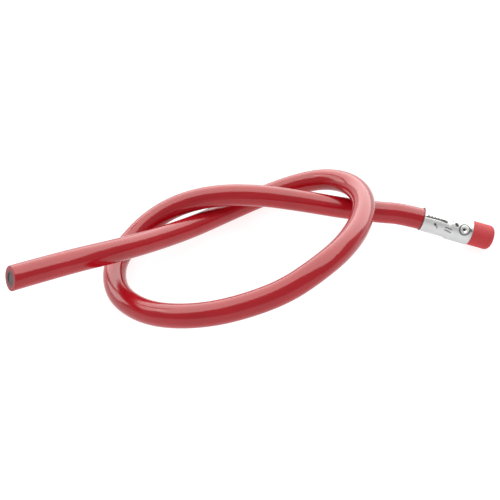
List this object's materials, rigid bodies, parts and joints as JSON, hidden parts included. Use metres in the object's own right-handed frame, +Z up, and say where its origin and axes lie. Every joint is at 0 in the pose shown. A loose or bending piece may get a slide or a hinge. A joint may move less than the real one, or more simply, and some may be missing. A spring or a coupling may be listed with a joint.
{
  "type": "flexible pencil",
  "caption": "Long flexible pencil lying tied in a loose overhand knot: round soft barrel with a soft lead, crimped metal ferrule and rubber eraser; the eraser end flexes.",
  "frame": {"origin": "middle of the footprint on the surface that the knotted pencil lies on", "axes": "+Z up, +X along the longest extent, from the cut tip towards the eraser"},
  "size_m": [0.1297, 0.054, 0.0253],
  "materials": {
    "red_vinyl": "gloss, smooth extruded soft vinyl",
    "soft_lead": "matte dark grey, cut flat",
    "aluminium": "bright satin, thin drawn tube with punched marks",
    "red_rubber": "matte moulded rubber"
  },
  "bodies": {
    "knot": {"barrel": "red_vinyl", "lead": "soft_lead"},
    "eraser_end": {"ferrule": "aluminium", "eraser": "red_rubber"}
  },
  "joints": [
    {"name": "tail_flex", "type": "hinge", "parent": "knot", "child": "eraser_end", "pos_m": [0.039, 0.002, 0.0078], "axis": [0, 0, 1], "range_deg": [-30, 30], "stiffness_Nm_per_rad": 0.063, "deforming": ["barrel", "lead"]}
  ]
}
